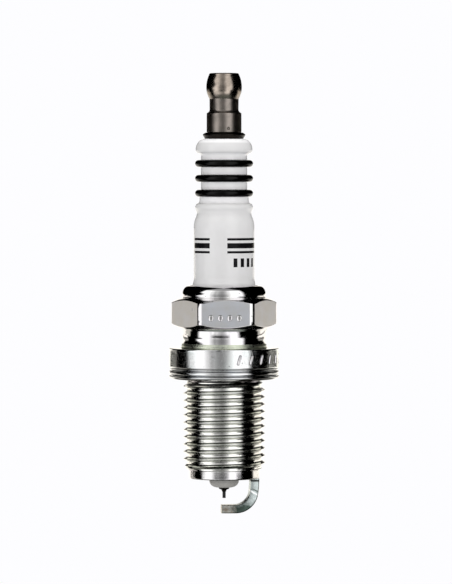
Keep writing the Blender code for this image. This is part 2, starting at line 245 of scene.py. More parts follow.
class Surface:
    """A Principled material with its node tree, in which texture sizes are per millimetre."""

    def __init__(self, name, colour, roughness, metallic=0.0, **inputs):
        self.material = bpy.data.materials.new(name)
        self.material.use_nodes = True
        self.tree = self.material.node_tree
        self.shader = self.tree.nodes["Principled BSDF"]
        self.put("Base Color", (*colour, 1.0))
        self.put("Roughness", roughness)
        self.put("Metallic", metallic)
        for key, value in inputs.items():
            self.put(key.replace("_", " "), value)
        place = self.node("ShaderNodeTexCoord")
        self.place = self.node("ShaderNodeVectorMath", operation="SCALE")
        self.tree.links.new(place.outputs["Object"], self.place.inputs[0])
        self.place.inputs["Scale"].default_value = 1.0 / MM
        self.position = self.place.outputs[0]

    def feed(self, socket, value):
        """Gives a socket a number, or links it to another socket."""
        if isinstance(value, bpy.types.NodeSocket):
            self.tree.links.new(value, socket)
        else:
            socket.default_value = value

    def put(self, name, value):
        """Feeds one of the shader's inputs."""
        self.feed(self.shader.inputs[name], value)

    def node(self, kind, **settings):
        made = self.tree.nodes.new(kind)
        for key, value in settings.items():
            setattr(made, key, value)
        return made

    def math(self, operation, first, second=0.0, clamp=False):
        made = self.node("ShaderNodeMath", operation=operation, use_clamp=clamp)
        for socket, value in zip(made.inputs, (first, second)):
            self.feed(socket, value)
        return made.outputs[0]

    def stretched(self, x, y, z):
        """The position with each axis scaled, for streaks and turning marks."""
        made = self.node("ShaderNodeVectorMath", operation="MULTIPLY")
        self.tree.links.new(self.position, made.inputs[0])
        made.inputs[1].default_value = (x, y, z)
        return made.outputs[0]

    def noise(self, scale, detail=3.0, roughness=0.55, vector=None):
        made = self.node("ShaderNodeTexNoise")
        self.tree.links.new(vector or self.position, made.inputs["Vector"])
        made.inputs["Scale"].default_value = scale
        made.inputs["Detail"].default_value = detail
        made.inputs["Roughness"].default_value = roughness
        return made.outputs["Fac"]

    def ramp(self, value, low, high, out_low=0.0, out_high=1.0):
        made = self.node("ShaderNodeMapRange")
        self.tree.links.new(value, made.inputs["Value"])
        for key, number in zip(("From Min", "From Max", "To Min", "To Max"), (low, high, out_low, out_high)):
            made.inputs[key].default_value = number
        return made.outputs["Result"]

    def mix(self, factor, first, second):
        made = self.node("ShaderNodeMix", data_type="RGBA")
        self.tree.links.new(factor, made.inputs["Factor"])
        for socket, value in zip((made.inputs[6], made.inputs[7]), (first, second)):
            self.feed(socket, (*value, 1.0) if isinstance(value, tuple) else value)
        return made.outputs[2]

    def axes(self, vector=None):
        """The x, y and z of a vector, or of the position."""
        made = self.node("ShaderNodeSeparateXYZ")
        self.tree.links.new(vector or self.position, made.inputs[0])
        return made.outputs

    def axis_distance(self):
        """The distance from the plug's axis, in millimetres."""
        made = self.node("ShaderNodeVectorMath", operation="LENGTH")
        self.tree.links.new(self.stretched(1.0, 1.0, 0.0), made.inputs[0])
        return made.outputs["Value"]

    def bump(self, height, depth, normal=None):
        """Depth is the height of the texture's full range, in millimetres."""
        made = self.node("ShaderNodeBump")
        made.inputs["Strength"].default_value = 1.0
        made.inputs["Distance"].default_value = depth * MM
        self.tree.links.new(height, made.inputs["Height"])
        if normal is not None:
            self.tree.links.new(normal, made.inputs["Normal"])
        return made.outputs["Normal"]


def plated(name, colour, tint, roughness, mark_depth=0.0006, pit_depth=0.002):
    """Bright plating over a turned surface: lathe marks, fine pits and a faint change of hue."""
    made = Surface(name, colour, roughness, 1.0)
    hue = made.ramp(made.noise(0.22, 2.0), 0.35, 0.65)
    stain = made.ramp(made.noise(1.1, 4.0, 0.6), 0.66, 0.72)
    made.put("Base Color", made.mix(stain, made.mix(hue, colour, tint), tuple(c * 0.3 for c in colour)))
    wear = made.noise(2.6, 4.0, 0.6)
    made.put("Roughness", made.ramp(wear, 0.3, 0.75, roughness * 0.75, roughness * 1.6))
    marks = made.noise(1.0, 2.0, 0.5, made.stretched(0.25, 0.25, 14.0))
    pits = made.ramp(made.noise(6.0, 3.0, 0.6), 0.6, 0.72)
    normal = made.bump(marks, mark_depth)
    made.put("Normal", made.bump(made.math("MULTIPLY", pits, -1.0), pit_depth, normal))
    return made.material


def rolled_thread(name):
    """Bright rolled flanks: painted shade where they face up near the root, a painted greenish reflection
    where they face down, and pits.
    """
    made = Surface(name, (0.86, 0.84, 0.78), 0.1, 1.0)
    facing_up = made.axes(made.node("ShaderNodeNewGeometry").outputs["Normal"])[2]
    speckle = made.noise(5.0, 3.0, 0.6)
    tilt = made.math("ADD", facing_up, made.ramp(speckle, 0.3, 0.7, -0.08, 0.08))
    # Painted reflection: flanks that face down get a darker, greener colour, standing in for the green light
    # they reflect from below.
    below = made.mix(made.ramp(tilt, -0.55, -0.2), (0.8, 0.83, 0.78), (0.94, 0.93, 0.89))
    # Painted shade: flanks that face up, close to the root, are painted near-black, standing in for the shade
    # in the thread's grooves.
    corner = made.ramp(made.axis_distance(), THREAD_ROOT_R + 0.24, THREAD_ROOT_R + 0.38, 1.0, 0.0)
    painted_groove_shade = made.math("MULTIPLY", made.ramp(tilt, 0.22, 0.5), corner)
    made.put("Base Color", made.mix(painted_groove_shade, below, (0.012, 0.012, 0.014)))
    made.put("Roughness", made.ramp(speckle, 0.3, 0.75, 0.07, 0.2))
    made.put("Normal", made.bump(made.math("MULTIPLY", made.ramp(speckle, 0.6, 0.75), -1.0), 0.004))
    return made.material


def nickel_with_painted_head(name):
    """Dull nickel on the terminal, with a brighter copy of its colour over the head: a painted highlight."""
    made = Surface(name, (0.3, 0.26, 0.23), 0.3, 1.0)
    painted_head_highlight = made.ramp(made.axes()[2], 46.0, 46.9)
    cloud = made.ramp(made.noise(0.9, 4.0, 0.6), 0.35, 0.68)
    dull = made.mix(cloud, (0.35, 0.305, 0.275), (0.25, 0.225, 0.2))
    # Painted highlight: the head gets a brighter copy of the nickel's colour.
    bright = made.mix(cloud, (0.52, 0.44, 0.375), (0.3, 0.255, 0.215))
    made.put("Base Color", made.mix(painted_head_highlight, dull, bright))
    made.put("Roughness", made.ramp(painted_head_highlight, 0.0, 1.0, 0.3, 0.19))
    made.put("Normal", made.bump(made.noise(4.0, 4.0, 0.6), 0.004))
    return made.material


def satin_steel(name, colour, roughness):
    """A pressed, lightly scuffed face."""
    made = Surface(name, colour, roughness, 0.25)
    cloud = made.noise(0.5, 4.0, 0.6)
    warmer = (colour[0] * 0.97, colour[1] * 0.95, colour[2] * 0.9)
    made.put("Base Color", made.mix(made.ramp(cloud, 0.35, 0.65), colour, warmer))
    made.put("Roughness", made.ramp(made.noise(3.0, 3.0), 0.3, 0.7, roughness * 0.85, roughness * 1.15))
    made.put("Normal", made.bump(made.noise(9.0, 4.0, 0.65), 0.004))
    return made.material


def glaze(name):
    """White glaze with printed bars: plain rules that stand in for the real plug's print. Close to the axis,
    in the grooves between the ribs and over the top, it is painted lighter: painted light.
    """
    made = Surface(name, (0.73, 0.73, 0.73), 0.16)
    cloud = made.ramp(made.noise(0.35, 2.0), 0.3, 0.7)
    clay = made.mix(cloud, (0.745, 0.745, 0.745), (0.715, 0.715, 0.71))
    ink = printed_bars(made)
    # Painted light: the glaze is painted lighter close to the axis, in the grooves between the ribs and over
    # the top.
    painted_groove_light = made.ramp(made.axis_distance(), 4.35, 4.6)
    clay = made.mix(painted_groove_light, (0.96, 0.96, 0.965), clay)
    made.put("Base Color", made.mix(ink, clay, (0.006, 0.006, 0.007)))
    made.put("Specular IOR Level", made.ramp(ink, 0.0, 1.0, 0.5, 0.08))
    made.put("Normal", made.bump(made.noise(0.9, 2.0), 0.006))
    return made.material


def printed_bars(made):
    """A mask of the level bars printed round the barrel."""
    x, y, z = made.axes()
    angle = made.math("DEGREES", made.math("ARCTAN2", x, made.math("MULTIPLY", y, -1.0)))
    mask = None
    for azimuth, half_width, height, half_height in PRINTED_BARS:
        across = made.math("ABSOLUTE", made.math("SUBTRACT", angle, azimuth))
        along = made.math("ABSOLUTE", made.math("SUBTRACT", z, height))
        inside = made.math(
            "MULTIPLY",
            made.math("LESS_THAN", across, half_width),
            made.math("LESS_THAN", along, half_height),
        )
        mask = inside if mask is None else made.math("MAXIMUM", mask, inside)
    return mask


def black_glaze(name):
    """Glossy black glaze on the upper ribs."""
    made = Surface(name, (0.0012, 0.0012, 0.0012), 0.07, Specular_IOR_Level=0.16)
    made.put("Normal", made.bump(made.noise(1.2, 2.0), 0.008))
    return made.material


def bisque(name):
    """Unglazed alumina on the nose."""
    made = Surface(name, (0.45, 0.44, 0.42), 0.55)
    cloud = made.ramp(made.noise(1.2, 4.0), 0.3, 0.7)
    made.put("Base Color", made.mix(cloud, (0.385, 0.375, 0.355), (0.305, 0.3, 0.275)))
    made.put("Normal", made.bump(made.noise(12.0, 4.0, 0.7), 0.006))
    return made.material


def powder(name, colour, other, grain):
    """A pressed or fused granular filling."""
    made = Surface(name, colour, 0.8)
    made.put("Base Color", made.mix(made.ramp(made.noise(grain, 4.0, 0.7), 0.35, 0.65), colour, other))
    made.put("Normal", made.bump(made.noise(grain * 1.5, 4.0, 0.7), 0.02))
    return made.material


def strap_metal(name):
    """Nickel strap: bright above, with a painted green-black reflection round the bend, tan towards its tip,
    a painted highlight across it at the crease and a painted shadow at its root, under the shell's end."""
    made = Surface(name, (0.46, 0.49, 0.47), 0.3, 1.0)
    x, _, z = made.axes()
    streaks = made.noise(1.0, 3.0, 0.6, made.stretched(6.0, 6.0, 1.2))
    blotch = made.ramp(made.noise(1.6, 4.0, 0.65), 0.35, 0.65, -0.35, 0.35)
    # Painted reflection: round the bend the strap is painted green-black.
    bend = made.ramp(made.math("ADD", z, blotch), -22.8, -24.0)
    tip = made.ramp(made.math("ADD", x, blotch), 2.1, 0.9)
    steel = made.mix(made.ramp(streaks, 0.35, 0.65), (0.55, 0.61, 0.6), (0.66, 0.73, 0.72))
    steel = made.mix(bend, steel, (0.075, 0.105, 0.09))
    mottle = made.ramp(made.noise(1.5, 3.0, 0.6), 0.4, 0.65)
    steel = made.mix(tip, steel, made.mix(mottle, (0.78, 0.78, 0.72), (0.47, 0.4, 0.32)))
    # Painted highlight: a white line across the strap along the crease.
    crease = made.math("ADD", z, made.math("MULTIPLY", x, CREASE_SLOPE))
    lit = made.math("MULTIPLY", made.ramp(crease, -19.06, -18.98), made.ramp(crease, -18.72, -18.8))
    steel = made.mix(lit, steel, (1.0, 1.0, 1.0))
    # Painted shadow: a dark band across the strap's root, where it meets the shell's end.
    root = made.math("MULTIPLY", made.ramp(z, -19.66, -19.56), made.ramp(z, -19.28, -19.36))
    made.put("Base Color", made.mix(root, steel, (0.015, 0.014, 0.013)))
    made.put("Roughness", made.ramp(made.noise(3.0, 3.0), 0.3, 0.7, 0.24, 0.4))
    made.put("Normal", made.bump(streaks, 0.004))
    return made.material


def drawn_wire(name, colour, roughness):
    """Metal drawn lengthways, with fine streaks along Z."""
    made = Surface(name, colour, roughness, 1.0)
    streaks = made.noise(1.0, 3.0, 0.6, made.stretched(10.0, 10.0, 0.5))
    lighter = tuple(min(1.0, c * 1.25) for c in colour)
    made.put("Base Color", made.mix(made.ramp(streaks, 0.3, 0.7), colour, lighter))
    made.put("Normal", made.bump(streaks, 0.003))
    return made.material


# ---------------------------------------------------------------- pieces


def terminal_nut(finish):
    """A barrel-shaped head over a plain neck and skirt, bored for the stud from below."""
    top, bottom = NUT_HIGH.z, NUT_LOW.z
    head_r, head_z, bulge = 3.04, 47.95, 4.0
    outline = rounded([(0.0, top - 0.16), (2.46, top - 0.16, 0.16), (2.58, 50.08)])
    outline += arc(head_r - bulge, head_z, bulge, 4.5, 27.5, 2, 12)
    outline += arc(head_r - bulge, head_z, bulge, bulge, 0, -29.5, 14)
    outline += rounded(
        [
            (2.49, 45.9, 0.03),
            (2.47, 44.0, 0.1),
            (2.62, 43.72, 0.08),
            (2.97, 43.5, 0.1),
            (2.98, bottom + 0.06, 0.05),
            (2.92, bottom, 0.03),
            (2.2, bottom, 0.1),
            (2.08, bottom + 0.2, 0.05),
            (2.08, 47.2),
            (0.0, 47.8),
        ]
    )
    nut = turned("terminal_nut_body", outline, [finish])
    cut(nut, [(0.1, 0.24, out_from_axis(15.0, 3.02, 40.85)[0])])
    return nut


def terminal_stud(finish):
    """The stud: M4 thread on top, the flat collar on the insulator, and a grooved foot in the glass."""
    top, thread_end, collar_bottom = STUD_HIGH.z, 40.9, CERAMIC_HIGH.z + 0.05
    crest_r, root_r, pitch, chamfer = 1.99, 1.6, 0.7, 0.15
    skin = Skin()
    skin.add([(0.0, top), (root_r - chamfer, top), (root_r, top - chamfer)])
    add_thread(skin, crest_r, root_r, pitch, top - chamfer, thread_end, 0.0, pitch / 2)
    lower = rounded(
        [
            (root_r, thread_end),
            (root_r, NUT_LOW.z - 0.01, 0.1),
            (3.25, NUT_LOW.z - 0.02, 0.1),
            (3.64, 39.86, 0.06),
            (3.64, 39.74, 0.06),
            (3.3, collar_bottom, 0.05),
            (1.9, collar_bottom),
        ]
    )
    foot_top, foot_bottom, grooves = STUD_LOW.z + 6.0, STUD_LOW.z, 8
    step = (foot_top - foot_bottom - 0.6) / grooves
    for i in range(grooves):
        z = foot_top - step * i
        lower += [(1.9, z), (1.68, z - step * 0.35), (1.68, z - step * 0.65), (1.9, z - step * 0.98)]
    lower += rounded([(1.9, foot_bottom + 0.4), (1.6, foot_bottom, 0.1), (0.0, foot_bottom)])
    skin.add(braced(lower))
    return skin.make("terminal_stud_body", [finish])


def add_thread(skin, crest_r, root_r, pitch, top, bottom, crest_z, chamfer, slot=0):
    """A right-hand thread between two flat rings. Its rings climb one pitch per turn, so the end of each
    meets the start of the one a pitch above; rings past either end are pressed flat onto it."""
    section = thread_section(pitch, crest_r - root_r)
    first = crest_z + pitch * math.ceil((top - crest_z) / pitch + 0.5)
    lift = pitch * skin.angles / math.tau
    rings = []
    for turn in range(math.ceil((first - bottom) / pitch) + 2):
        for drop, height in section:
            z = first - pitch * turn - drop + lift
            limit = np.minimum(top - z, z - bottom) / chamfer * (crest_r - root_r)
            r = root_r + np.clip(np.minimum(height, limit), 0.0, None)
            rings.append((r, np.clip(z, bottom, top)))
    skin.add(rings, slot, seam_shift=len(section))


def thread_section(pitch, depth, crest=0.05, root=0.215):
    """One pitch as (drop below the crest's middle, height over the root): narrow crests over broad,
    flat roots. Crest and root are half widths, as parts of the pitch."""
    half = rounded(
        [
            (0.0, depth),
            (crest * pitch, depth * 0.985, 0.05),
            ((0.5 - root) * pitch, 0.0, 0.08),
            (0.5 * pitch, 0.0),
        ],
        5,
    )
    return half + [(pitch - drop, height) for drop, height in half[-2:0:-1]]


def rib(centre, half, radius, above, below):
    """A pill-edged rib between two grooves of the insulator, whose radii above and below it are given."""
    inner, top, bottom, groove = radius - half, centre + half, centre - half, 0.3
    outline = rounded([(above, top + groove), (above, top, 0.1), (inner, top)])
    outline += arc(inner, centre, half, half, 84, -84, 14)
    return outline + rounded([(inner, bottom), (below, bottom, 0.1), (below, bottom - groove)])


def insulator(white, black, bare):
    """The ribbed top, the long barrel, the shoulders inside the shell and the bare nose."""
    top = CERAMIC_HIGH.z
    outline = rounded(
        [
            (2.05, top),
            (3.75, top, 0.25),
            (4.3, 38.75, 0.3),
            (4.75, 38.05, 0.35),
            (4.86, 37.5, 0.3),
            (4.84, 37.0, 0.2),
            (4.55, 36.72, 0.12),
            (4.12, 36.6, 0.15),
            (3.95, 36.25, 0.2),
        ]
    )
    outline += [(3.95, 36.0)]
    for i, centre in enumerate(BLACK_RIBS):
        below = 3.95 if i < 2 else 4.2
        outline += rib(centre, RIB_HALF, 4.97, 3.95, below)
    outline += rounded(
        [
            (4.2, 28.6, 0.2),
            (4.3, 28.2, 0.2),
            (4.75, 27.98, 0.15),
            (4.95, 27.6, 0.2),
            (4.95, 27.25, 0.2),
            (4.75, 26.85, 0.15),
            (4.66, 26.45, 0.25),
            (4.7, 26.0, 0.4),
            (5.05, 25.2, 0.5),
            (5.2, 24.2, 0.6),
            (5.2, 15.0, 0.4),
            (5.4, 14.2, 0.2),
            (5.42, 13.0, 0.1),
            (5.3, 12.7),
            (5.3, 8.9, 0.1),
            (6.0, 8.5, 0.1),
            (6.0, 1.9, 0.2),
            (4.6, 0.5, 0.2),
            (4.6, -5.6, 0.2),
            (3.5, -6.4, 0.2),
            (2.56, -18.0, 0.5),
        ]
    )
    end, corner = CERAMIC_LOW.z, 1.3
    outline += arc(2.54 - corner, end + corner * 0.9, corner, corner * 0.9, 0, -90, 10)
    outline += [(1.32, end + 0.04), (1.32, -2.9), (2.05, -2.05)]
    edge, bare_below = RIB_HALF + 0.02, 8.0

    def slot_of(z):
        if any(abs(z - centre) < edge for centre in BLACK_RIBS):
            return 1
        return 2 if z < bare_below else 0

    return turned("insulator_body", outline, [white, black, bare], slot_of, closed=True)


def shell_angles():
    """Even columns, with closer ones round the hexagon's corners."""
    close = np.array([-6.2, -5.4, -4.85, -4.0, -3.0, -2.0, -1.0, 0.0, 1.0, 2.0, 3.0, 4.0, 4.85, 5.4, 6.2])
    extra = np.concatenate([close + 60.0 * i + HEX_FACE_TURN for i in range(6)]) % 360
    even = np.degrees(np.linspace(0, math.tau, COLUMNS, endpoint=False))
    kept = [a for a in even if np.min(np.abs((extra - a + 180) % 360 - 180)) > 0.7]
    return np.radians(np.sort(np.concatenate([kept, extra])))


def hex_radius(angles):
    """The hexagon's section: flat faces and filleted corners."""
    off_corner = np.radians(30.0) - np.abs(np.radians((np.degrees(angles) - HEX_FACE_TURN) % 60.0 - 30.0))
    flat = HEX_APOTHEM / np.cos(np.radians(30.0) - off_corner)
    centre = (HEX_APOTHEM - HEX_FILLET) / math.cos(math.radians(30.0))
    across = np.clip(HEX_FILLET**2 - (centre * np.sin(off_corner)) ** 2, 0.0, None)
    fillet = centre * np.cos(off_corner) + np.sqrt(across)
    tangent = math.radians(30.0) - math.atan((1 - HEX_FILLET / HEX_APOTHEM) * math.tan(math.radians(30.0)))
    return np.where(np.abs(off_corner) < tangent, fillet, flat)


def metal_shell(bright, satin, rolled, painted_front, bead, flange):
    """The rolled lip, hexagon, hollow neck, flange, thread, pilot and bore, in one skin."""
    skin = Skin(shell_angles())
    lip = rounded(
        [
            (6.2, 12.75, 0.1),
            (5.66, 13.3, 0.08),
            (5.66, 13.62, 0.1),
        ]
    )
    lip += [(5.85, 14.0)]
    lip += arc(5.95, 12.4, 1.23, 1.63, 88, -6, 20)
    lip_foot, neck_top, neck_hollow = (7.08, 11.97), (7.3, 6.42), 6.2
    lip += [(7.14, 12.1), lip_foot]
    skin.add(braced(lip))
    add_hexagon(skin, *lip_foot, *neck_top)
    cove = arc(7.13 + neck_hollow, 5.0, neck_hollow, neck_hollow, 167, 188, 12)
    skin.add(braced([neck_top] + cove))
    skirt = rounded(
        [
            cove[-1],
            (7.21, 4.0, 0.06),
            (7.27, 3.82, 0.08),
            (7.28, FLANGE_TOP + 0.06, 0.1),
            (7.6, FLANGE_TOP, 0.1),
            (FLANGE_R - 0.02, FLANGE_TOP, 0.12),
            (FLANGE_R, FLANGE_TOP - 0.3, 0.1),
            (FLANGE_R, 0.14, 0.08),
            (FLANGE_R - 0.14, 0.0, 0.05),
            (RELIEF_R, 0.0, 0.2),
            (RELIEF_R, -1.95, 0.1),
            (THREAD_ROOT_R, THREAD_TOP),
        ]
    )

    def slot_of(z):
        if z > FLANGE_TOP + 0.02:
            return BEAD if z < BEAD_TOP else BRIGHT
        return FLANGE if z > 0.0 else BRIGHT

    skin.add(braced(skirt), slot_of=slot_of)
    add_thread(skin, THREAD_R, THREAD_ROOT_R, PITCH, THREAD_TOP, THREAD_BOTTOM, CREST_Z, 0.85, ROLLED)
    lower = rounded(
        [
            (THREAD_ROOT_R, THREAD_BOTTOM),
            (6.0, THREAD_BOTTOM - 0.08, 0.05),
            (PILOT_R, THREAD_BOTTOM - 0.2, 0.05),
            (PILOT_R, SHELL_LOW.z + 0.12, 0.1),
            (PILOT_R - 0.12, SHELL_LOW.z, 0.05),
            (4.55, SHELL_LOW.z, 0.06),
            (4.45, SHELL_LOW.z + 0.1, 0.05),
            (4.45, -8.7, 0.1),
            (3.85, -8.0, 0.1),
            (3.85, -6.95, 0.1),
            (4.75, -6.3, 0.1),
            (4.75, 0.25, 0.1),
            (6.2, 1.6, 0.1),
            (6.2, 12.75),
        ]
    )
    skin.add(braced(lower))
    shell = skin.make("metal_shell_body", [bright, satin, rolled, painted_front, bead, flange])
    mark_faces(shell)
    cut(shell, stamped_strokes())
    return shell


def add_hexagon(skin, top_r, top_z, bottom_r, bottom_z):
    """The hexagon between two round rings: a cone over each end meets the faces in the usual curves."""
    section = hex_radius(skin.angles)
    slope = math.tan(math.radians(27.0))
    inner = HEX_APOTHEM - 0.5
    top_meet = HEX_TOP - (section - inner) * slope
    bottom_meet = HEX_BOTTOM + (section - inner) * slope
    round_off = 0.07
    skin.add(
        [
            (top_r, top_z),
            (inner - 0.25, HEX_TOP + 0.03),
            (inner, HEX_TOP),
            ((inner + section * 3) / 4, HEX_TOP - (section - inner) * 0.75 * slope),
            (section - round_off, top_meet + round_off * slope),
            (section - round_off * 0.2, top_meet - round_off * 0.1),
            (section, top_meet - round_off),
            (section, top_meet * 0.75 + bottom_meet * 0.25),
            (section, (top_meet + bottom_meet) / 2),
            (section, top_meet * 0.25 + bottom_meet * 0.75),
            (section, bottom_meet + round_off),
            (section - round_off * 0.2, bottom_meet + round_off * 0.1),
            (section - round_off, bottom_meet - round_off * slope),
            ((inner + section * 3) / 4, HEX_BOTTOM + (section - inner) * 0.75 * slope),
            (inner, HEX_BOTTOM),
            (inner - 0.1, HEX_BOTTOM - 0.05),
            (bottom_r, bottom_z),
        ]
    )


def mark_faces(shell):
    """The flat faces get the satin finish, the front one a darker, bluer copy of it: a painted reflection.
    Everything turned stays bright. A face's finish runs on round its left corner, seen from outside, and
    leaves the right one bright."""
    for face in shell.data.polygons:
        centre, normal = face.center / MM, face.normal
        if not HEX_BOTTOM < centre.z < HEX_TOP or abs(normal.z) > 0.1:
            continue
        turn = math.degrees(math.atan2(centre.y, centre.x)) - HEX_FACE_TURN - 30.0
        middle = math.radians(60.0 * round(turn / 60.0) + HEX_FACE_TURN + 30.0)
        lean = math.degrees(math.atan2(normal.y, normal.x) - middle)
        if -18.0 < (lean + 180.0) % 360.0 - 180.0 < 3.0:
            face.material_index = PAINTED_FRONT if math.sin(middle) < -0.99 else SATIN


def out_from_axis(azimuth, radius, z):
    """A frame on the plug's side: azimuth is in degrees from the front, growing to the right."""
    angle = math.radians(azimuth - 90.0)
    out = Vector((math.cos(angle), math.sin(angle), 0.0))
    return Matrix.Translation(out * radius * MM + Vector((0.0, 0.0, z * MM))), out


def aside(out, distance):
    """A move along the face that looks out this way, to its right."""
    return Matrix.Translation(Vector((-out.y, out.x, 0.0)) * distance * MM)


def stamped_strokes():
    """Plain punched dots on the front face, slanted strokes on the flange, and one chip in a side face.
    The middles of the dots and of the chip lie just under their face, so that no point falls in it. The
    dots are shallow, and their punch stood a few degrees askew."""
    dot_pitch, dot_shift, dot_z, dot_depth, dot_turn = 1.6, -0.3, 8.7, 0.305, math.radians(-2.7)
    stroke_pitch, stroke_z, slant = 13.2, 1.6, math.radians(-17.0)
    face_r = HEX_APOTHEM - 0.01
    place, out = out_from_axis(HEX_FACE_TURN, face_r, dot_z)
    shallow = place @ Matrix.Rotation(dot_turn, 4, "Z") @ Matrix.Diagonal((1.0, dot_depth, 1.0, 1.0))
    bars = [(0.2, 0.46, aside(out, (i - 1.5) * dot_pitch + dot_shift) @ shallow) for i in range(4)]
    place, out = out_from_axis(HEX_FACE_TURN - 60.0, face_r, 10.1)
    bars.append((0.1, 0.16, aside(out, 2.4) @ place))
    for i in range(6):
        place, out = out_from_axis(16.0 + stroke_pitch * i, FLANGE_R + 0.1, stroke_z)
        bars.append((1.2, 0.32, place @ Matrix.Rotation(slant, 4, out)))
    return bars


def seat_gasket(finish):
    """A folded sheet ring: three round edges show outside, and a lip inside is held by the first crest."""
    top, bottom = GASKET_HIGH.z, GASKET_LOW.z
    outline = rounded(
        [
            (7.45, top),
            (9.1, top, 0.1),
            (9.27, -0.18, 0.12),
            (9.15, -0.36, 0.06),
            (8.85, -0.41, 0.03),
            (9.2, -0.46, 0.08),
            (9.4, -0.6, 0.12),
            (9.4, -1.02, 0.12),
            (9.2, -1.16, 0.08),
            (8.85, -1.21, 0.03),
            (9.2, -1.27, 0.08),
            (9.42, -1.4, 0.1),
            (9.42, -1.62, 0.12),
            (9.1, -1.9, 0.15),
            (8.4, bottom, 0.3),
            (7.6, bottom, 0.1),
            (6.8, -1.85, 0.08),
            (6.8, -1.5, 0.08),
            (7.45, -1.2),
        ]
    )
    return turned("seat_gasket_body", outline, [finish], closed=True)


def centre_electrode(dark):
    """The nickel sheath: a head in the glass, a long stem and a tapered end that holds the wire."""
    bore_r, head = 0.85, SHEATH_HIGH.z
    low = SHEATH_LOW.z
    outline = [(0.0, -17.5), (bore_r, -16.9), (bore_r, head), (1.9, head), (1.9, -2.0), (1.25, -2.8)]
    outline += rounded(
        [
            (1.25, -19.9, 0.1),
            (0.88, -20.3, 0.1),
            (0.9, -20.84, 0.06),
            (0.42, low + 0.3, 0.12),
            (0.36, low, 0.03),
            (0.33, low),
            (0.33, low + 0.55),
            (0.0, low + 0.55),
        ]
    )
    return turned("electrode_sheath_body", outline, [dark])


def wire_tip(finish):
    """The fine wire welded into the sheath's end."""
    top, low, r = WIRE_HIGH.z, WIRE_LOW.z, 0.28
    outline = [(0.0, top), (r, top)] + rounded([(r, low + 0.3), (r, low, 0.05), (0.0, low)])
    return turned("fine_wire_tip_body", outline, [finish])


def strap_path(top, bottom, outer_x, mid, tip_x):
    """The middle of the strap as (x, z): a gentle lean inwards, the bend, and a level run to the tip."""
    bend, lean = 3.2, math.radians(7.0)
    drop = top - bottom - mid
    lean_r = (drop - bend * (1 - math.sin(lean))) / math.sin(lean)
    path = [(outer_x - mid, top - 0.02), (outer_x - mid, top - 0.12)]
    path += [strap_arc(outer_x - mid, top, lean_r, lean * t) for t in (0.25, 0.5, 0.75, 1.0)]
    bend_x, bend_z = path[-1][0] - bend * math.cos(lean), path[-1][1] + bend * math.sin(lean)
    for a in np.linspace(lean, math.pi / 2, 25)[1:]:
        path.append((bend_x + bend * math.cos(a), bend_z - bend * math.sin(a)))
    path += [(bend_x + (tip_x - bend_x) * t, bottom + mid) for t in np.linspace(0.06, 0.94, 14)]
    return path + [(tip_x + 0.05, bottom + mid), (tip_x, bottom + mid)]


def ground_electrode(finish):
    """A flat strap welded to the shell's end, bent over the tip and narrowed at its end."""
    thickness, width, outer_x, tip_x = 1.45, 2.6, 5.95, -0.5
    top, bottom, mid = STRAP_HIGH.z, STRAP_LOW.z, thickness / 2
    taper_start, taper, end_bevel = 3.4, 0.5, 0.05
    path = strap_path(top, bottom, outer_x, mid, tip_x)
    rows = []
    for i, (x, z) in enumerate(path):
        ahead, behind = path[min(i + 1, len(path) - 1)], path[max(i - 1, 0)]
        along = np.array((ahead[0] - behind[0], ahead[1] - behind[1]))
        along = along / np.linalg.norm(along)
        out = np.array((-along[1], along[0]))
        narrow = np.clip((taper_start - x) / (taper_start - tip_x), 0.0, 1.0)
        narrow = narrow if z < bottom + thickness else 0.0
        inset = end_bevel if i in (0, len(path) - 1) else 0.0
        section = strap_section(width / 2 - taper * narrow**1.5 - inset, mid - inset)
        rows.append([(x + out[0] * v, u, z + out[1] * v) for u, v in section])
    strap = loft("ground_electrode_body", rows, finish)
    turn = Matrix.Rotation(STRAP_TURN, 4, "Z")
    crease = Matrix.Translation((5.05 * MM, (-width / 2 - 0.4) * MM, -21.25 * MM))
    slope = Matrix.Rotation(math.radians(-63.0), 4, "Y")
    cut(strap, [(1.6, 0.48, turn @ crease @ slope)])
    return strap


def strap_arc(x, z, radius, angle):
    """A point on the strap's first, gentle curve away from the vertical."""
    return x - radius * (1 - math.cos(angle)), z - radius * math.sin(angle)


def strap_section(half_w, half_t, corner=0.22, steps=4):
    """A rounded rectangle as (across the strap, through it)."""
    points = []
    for cu, cv, start in ((1, 1, 0), (-1, 1, 90), (-1, -1, 180), (1, -1, 270)):
        for k in range(steps + 1):
            a = math.radians(start + 90.0 * k / steps)
            across = cu * (half_w - corner) + corner * math.cos(a)
            points.append((across, cv * (half_t - corner) + corner * math.sin(a)))
    return points


def loft(name, rows, finish):
    """A closed skin over rows of equal length, with its two ends filled."""
    work = bmesh.new()
    made = [[work.verts.new(Vector(p) * MM) for p in row] for row in rows]
    count = len(rows[0])
    for a, b in zip(made, made[1:]):
        for j in range(count):
            k = (j + 1) % count
            work.faces.new((a[j], a[k], b[k], b[j]))
    work.faces.new(made[0][::-1])
    work.faces.new(made[-1])
    bmesh.ops.recalc_face_normals(work, faces=work.faces)
    bmesh.ops.rotate(work, verts=work.verts, matrix=Matrix.Rotation(STRAP_TURN, 3, "Z"))
    mesh = bpy.data.meshes.new(name)
    work.to_mesh(mesh)
    work.free()
    mesh.materials.append(finish)
    return linked(name, shaded(mesh))


